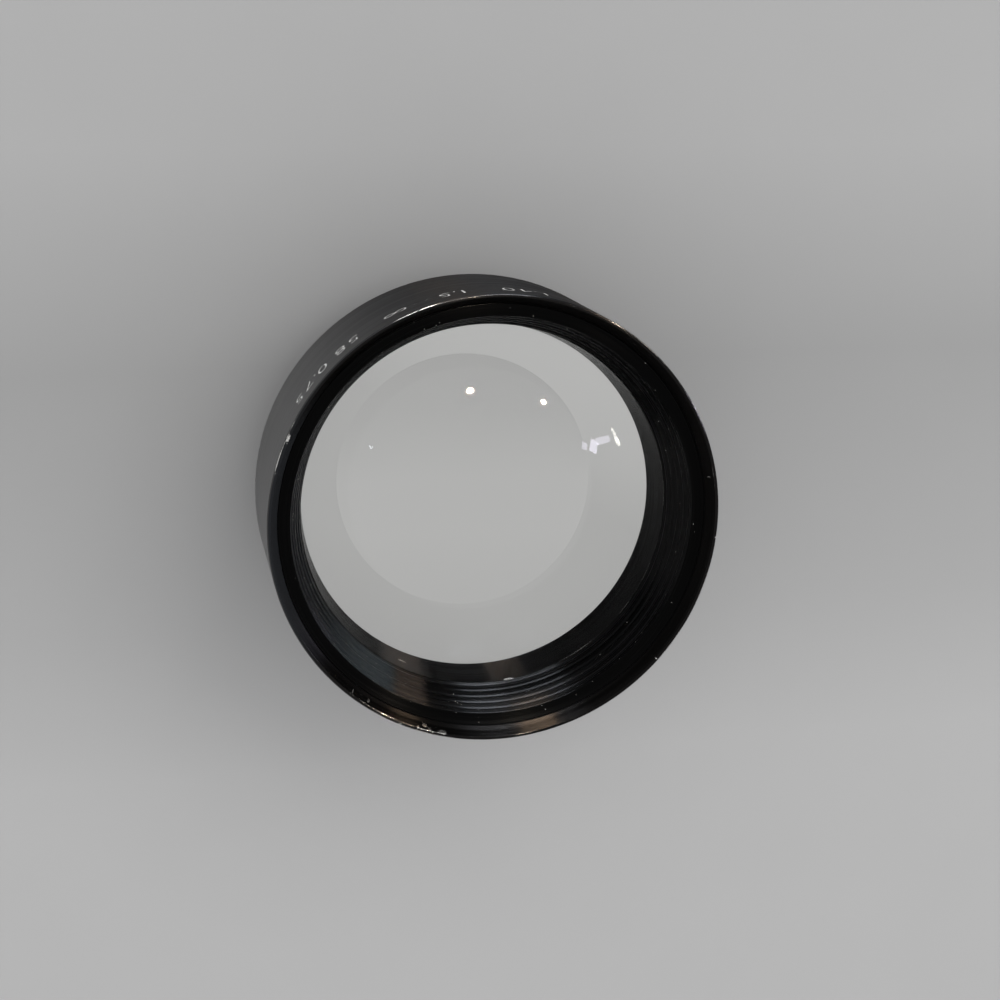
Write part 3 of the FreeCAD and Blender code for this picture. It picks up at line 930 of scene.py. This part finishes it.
# %% [markdown]
# The mount itself is one turned outline: spigot with the groove for the set screws, a flange to
# grip and seat on, an undercut, then the threaded length with its lead chamfer.
# %% The rear mount
thread_pitch = 0.75
thread_depth = 0.42
seat_r = glass_r - 0.65
glass_bore_r = glass_r + 0.05
spigot_r = 28.4
thread_r = 29.0
undercut_r = 28.5
back_bore_r = back_r + 0.05
flange_front = mount_front + 3.5
flange_rear = mount_rear - 4.0
screw_depth = flange_front - 1.7
groove = [(spigot_r, screw_depth - 1.15), (spigot_r - 0.4, screw_depth - 1.15),
          (spigot_r - 0.4, screw_depth + 1.15), (spigot_r, screw_depth + 1.15)]
lead = 0.4
thread_front = flange_rear + 0.8
thread_rear = mount_rear - lead
thread_rows = 44
threaded = [(thread_r, thread_front + (thread_rear - thread_front) * k / thread_rows)
            for k in range(thread_rows + 1)]
mount_outline = [(seat_r, mount_front), (spigot_r, mount_front)] + groove + [
    (spigot_r, flange_front), (mount_r - 0.3, flange_front), (mount_r, flange_front + 0.3),
    (mount_r, flange_rear - 0.3), (mount_r - 0.3, flange_rear), (thread_r + 0.3, flange_rear),
    (thread_r + 0.15, flange_rear - 0.15), (undercut_r, flange_rear - 0.15),
    (undercut_r, thread_front)]
mount_outline += threaded + [
    (thread_r - lead, mount_rear), (back_bore_r, mount_rear), (back_bore_r, rear_face - 0.4),
    (glass_bore_r, rear_face - 0.4), (glass_bore_r, hollow_front), (seat_r, hollow_front)]
mount = turned("rear_mount_ring", mount_outline, 360)
mount_wear = [(mount_r, flange_front + 0.2, 0.2, 40.0, 200.0, 0.55),
              (mount_r, flange_rear - 0.2, 0.2, 220.0, 200.0, 0.55),
              (thread_r - 0.2, mount_rear - 0.2, 0.3, 120.0, 300.0, 0.60)]
mount_finish = anodised(
    "black_mount", (0.008, 0.008, 0.009), 0.38, 0.20, mount_wear, shine=0.20, pitch=0.12)
grown(mount, cut_thread, Pitch=thread_pitch * mm, Depth=thread_depth * mm,
      Start=rim_z - thread_rear * mm, End=rim_z - thread_front * mm,
      Outer_Radius=thread_r * mm, Material=mount_finish)
round_shading(mount)
finish_piece(mount, "black_anodised", "rear_mount")

# %% [markdown]
# The remaining nodes are the CAD solids themselves. Their shapes are right, so they only get their
# finishes: blackened cell, sleeve and rear ring, a brass shim, and blackened steel screws.
# %% The pieces that stay
def metal(name, colour, roughness, grain):
    """Plain metal with a slight grain in its roughness and bump."""
    material, tree, shader = new_material(name)
    grains = noise(tree, grain, 4.0)
    darker = tuple(0.6 * c for c in colour[:3]) + (1,)
    bumped = add(tree, "ShaderNodeBump", {
        "Height": grains, "Strength": 0.15, "Distance": 0.01 * mm})
    fill(tree, shader, {
        "Base Color": mixed(tree, grains, darker, colour),
        "Roughness": ramp(tree, grains, 0.3, 0.7, roughness - 0.1, roughness + 0.1),
        "Normal": bumped.outputs[0],
        "Metallic": 1.0})
    return material


brass = metal("brass_shim", (0.62, 0.46, 0.20, 1), 0.35, 1200.0)
steel = metal("blackened_screw", (0.16, 0.16, 0.17, 1), 0.35, 1500.0)
stays = {
    "lens_cell": cell_finish,
    "spacer_sleeve": cell_finish,
    "rear_retaining_ring": cell_finish,
    "focus_shim": brass,
    "mount_set_screws": steel}
for node, material in stays.items():
    mesh_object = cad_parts[node]
    if not mesh_object.material_slots:
        mesh_object.data.materials.append(material)
    for material_slot in mesh_object.material_slots:
        material_slot.material = material
print("CAD nodes kept:", sorted(stays))

# %% [markdown]
# The lens stands on a plain pale floor. Seen through the glass, the patch of floor under the lens
# would be in the dark, because the closed tube shades it. Light Path's Is Transmission Ray makes the
# floor glow with its own pale tone for that view instead: painted light in place of that shade.
# Everything else sees the floor with its shadow, and with a painted change of light and shade down the
# picture, as room light gives.
# %% The floor
floor_colour = (0.50, 0.50, 0.50, 1)
floor_half = 3.0
floor_mesh = bpy.data.meshes.new("floor")
floor_corners = [(-1, -1), (1, -1), (1, 1), (-1, 1)]
floor_mesh.from_pydata(
    [(floor_half * x, floor_half * y, 0) for x, y in floor_corners], [], [(0, 1, 2, 3)])
floor = placed("floor", floor_mesh)
floor_material, tree, shader = new_material("pale_floor")
darker_floor = tuple(0.97 * c for c in floor_colour[:3]) + (1,)
tone = mixed(tree, noise(tree, 60.0, 3.0), darker_floor, floor_colour)
floor_stops = [(0.08, 0.93), (0.36, 0.77), (0.71, 0.88), (0.92, 1.0)]
floor_reach = 60.0
painted_floor_shade = shade_across(picture_down, floor_reach, floor_stops)(tree)
fill(tree, shader, {
    "Base Color": mixed(tree, 1.0, tone, painted_floor_shade, "MULTIPLY"),
    "Roughness": 0.65,
    "Specular IOR Level": 0.0})
tone_in_glass = 1.005
# The glow is painted light: for rays that came through the glass, the floor shines with its own tone.
glow = add(tree, "ShaderNodeEmission", {"Color": tone, "Strength": tone_in_glass})
path = add(tree, "ShaderNodeLightPath")
blend = add(tree, "ShaderNodeMixShader", {
    0: path.outputs["Is Transmission Ray"], 1: shader.outputs[0], 2: glow.outputs[0]})
tree.links.new(blend.outputs[0], tree.nodes["Material Output"].inputs["Surface"])
floor_mesh.materials.append(floor_material)
print("floor", floor_colour[:3])

# %% [markdown]
# Soft light comes from a plain world and one large pane, at a level where a colour renders about as
# it is written. Small warm lamps and cool strips add the highlights: each stands where a mirror on
# the glass or the metal would show it. They show in mirror images only, so they add no hard
# shadows and no false spots in the glass. The inside lamps are seen by way of the flat back of the
# front pair alone: light that also passed the rear lens has a greater transmission depth. The sky
# is dim for light that comes back out of the glass, because coated faces mirror little of it.
# %% The sky
world = bpy.data.worlds.new("studio")
bpy.context.scene.world = world
world.use_nodes = True
sky = world.node_tree.nodes["Background"]
sky.inputs["Color"].default_value = (0.99, 0.99, 1.0, 1)
sky_strength = 0.85
sky_through_glass = 0.1
tree = world.node_tree
route = add(tree, "ShaderNodeLightPath").outputs["Is Transmission Ray"]
fill(tree, sky, {
    "Strength": ramp(tree, route, 0.0, 1.0, sky_strength, sky_through_glass, "LINEAR")})
print("sky:", sky_strength, "and", sky_through_glass, "through glass")

# %% [markdown]
# Each lamp is placed by the direction it comes from, so that its mirror image falls where the photo
# has a highlight.
# %% The lamps
def lamp(name, azimuth, elevation, size, radiance, colour, size_y=None, seen="mirror", spin=0.0,
         distance=0.6):
    """An area lamp that faces the lens; radiance is its brightness in a mirror. seen says which light
    it takes part in: plain shading, mirror images, or images from inside the front glass. Sizes and
    the distance are in metres, angles in degrees."""
    data = bpy.data.lights.new(name, "AREA")
    data.shape = "ELLIPSE" if size_y is None else "RECTANGLE"
    data.size = size
    data.size_y = size if size_y is None else size_y
    area = data.size * data.size_y * (math.pi / 4 if size_y is None else 1.0)
    data.energy = radiance * area * math.pi
    data.color = colour
    a, e = math.radians(azimuth), math.radians(elevation)
    away = Vector((math.cos(a) * math.cos(e), math.sin(a) * math.cos(e), math.sin(e)))
    centre = Vector((0, 0, rim_z))
    facing = away.to_track_quat("Z", "Y").to_matrix().to_4x4()
    facing = facing @ Matrix.Rotation(math.radians(spin), 4, "Z")
    light = placed(name, data)
    light.matrix_world = Matrix.Translation(centre + away * distance) @ facing
    light.visible_diffuse = seen == "plain"
    light.visible_glossy = seen == "mirror"
    light.visible_transmission = seen == "inside"
    if seen == "inside":
        data.use_nodes = True
        tree = data.node_tree
        depth = add(tree, "ShaderNodeLightPath").outputs["Transmission Depth"]
        near = maths(tree, "LESS_THAN", depth, front_pair_passes)
        fill(tree, tree.nodes["Emission"], {"Strength": near})


front_pair_passes = 2.5
warm, amber, cream = (1.0, 0.86, 0.68), (1.0, 0.74, 0.50), (1.0, 0.98, 0.9)
cool, violet = (0.86, 0.92, 1.0), (0.86, 0.82, 1.0)
lamp("soft_pane", 195.0, 50.0, 0.9, 1.4, (1.0, 0.99, 0.97), 0.7, "plain", distance=1.2)
lamp("warm_lamp_a", 221.5, 56.8, 0.021, 3000, warm)
lamp("warm_lamp_b", 177.3, 45.3, 0.019, 3000, warm)
lamp("faint_lamp", 305.4, 53.8, 0.016, 26, cool)
lamp("window_left", 217.0, 23.5, 0.20, 170.0, cool, 0.10, distance=0.8)
lamp("window_right", 237.0, 23.5, 0.36, 80.0, cool, 0.10, distance=0.8)
lamp("low_lamp_a", 235.5, 4.0, 0.13, 260.0, amber, 0.03)
lamp("low_lamp_b", 190.0, 4.0, 0.08, 170.0, amber, 0.03)
lamp("low_violet", 153.0, 4.0, 0.12, 140.0, violet, 0.03)
lamp("crescent_lamp", 18.2, 61.0, 0.036, 150.0, cream, 0.012, "inside", -33.0)
lamp("crescent_end", 16.2, 61.7, 0.020, 150.0, cream, None, "inside")
lamp("violet_lamp_a", 29.2, 67.0, 0.018, 9.0, violet, 0.026, "inside")
lamp("violet_lamp_b", 24.5, 64.4, 0.045, 6.0, violet, 0.014, "inside", 45.0)
lamp("violet_lamp_c", 34.2, 67.9, 0.012, 6.0, violet, 0.014, "inside")

bpy.context.scene.view_settings.view_transform = "Standard"
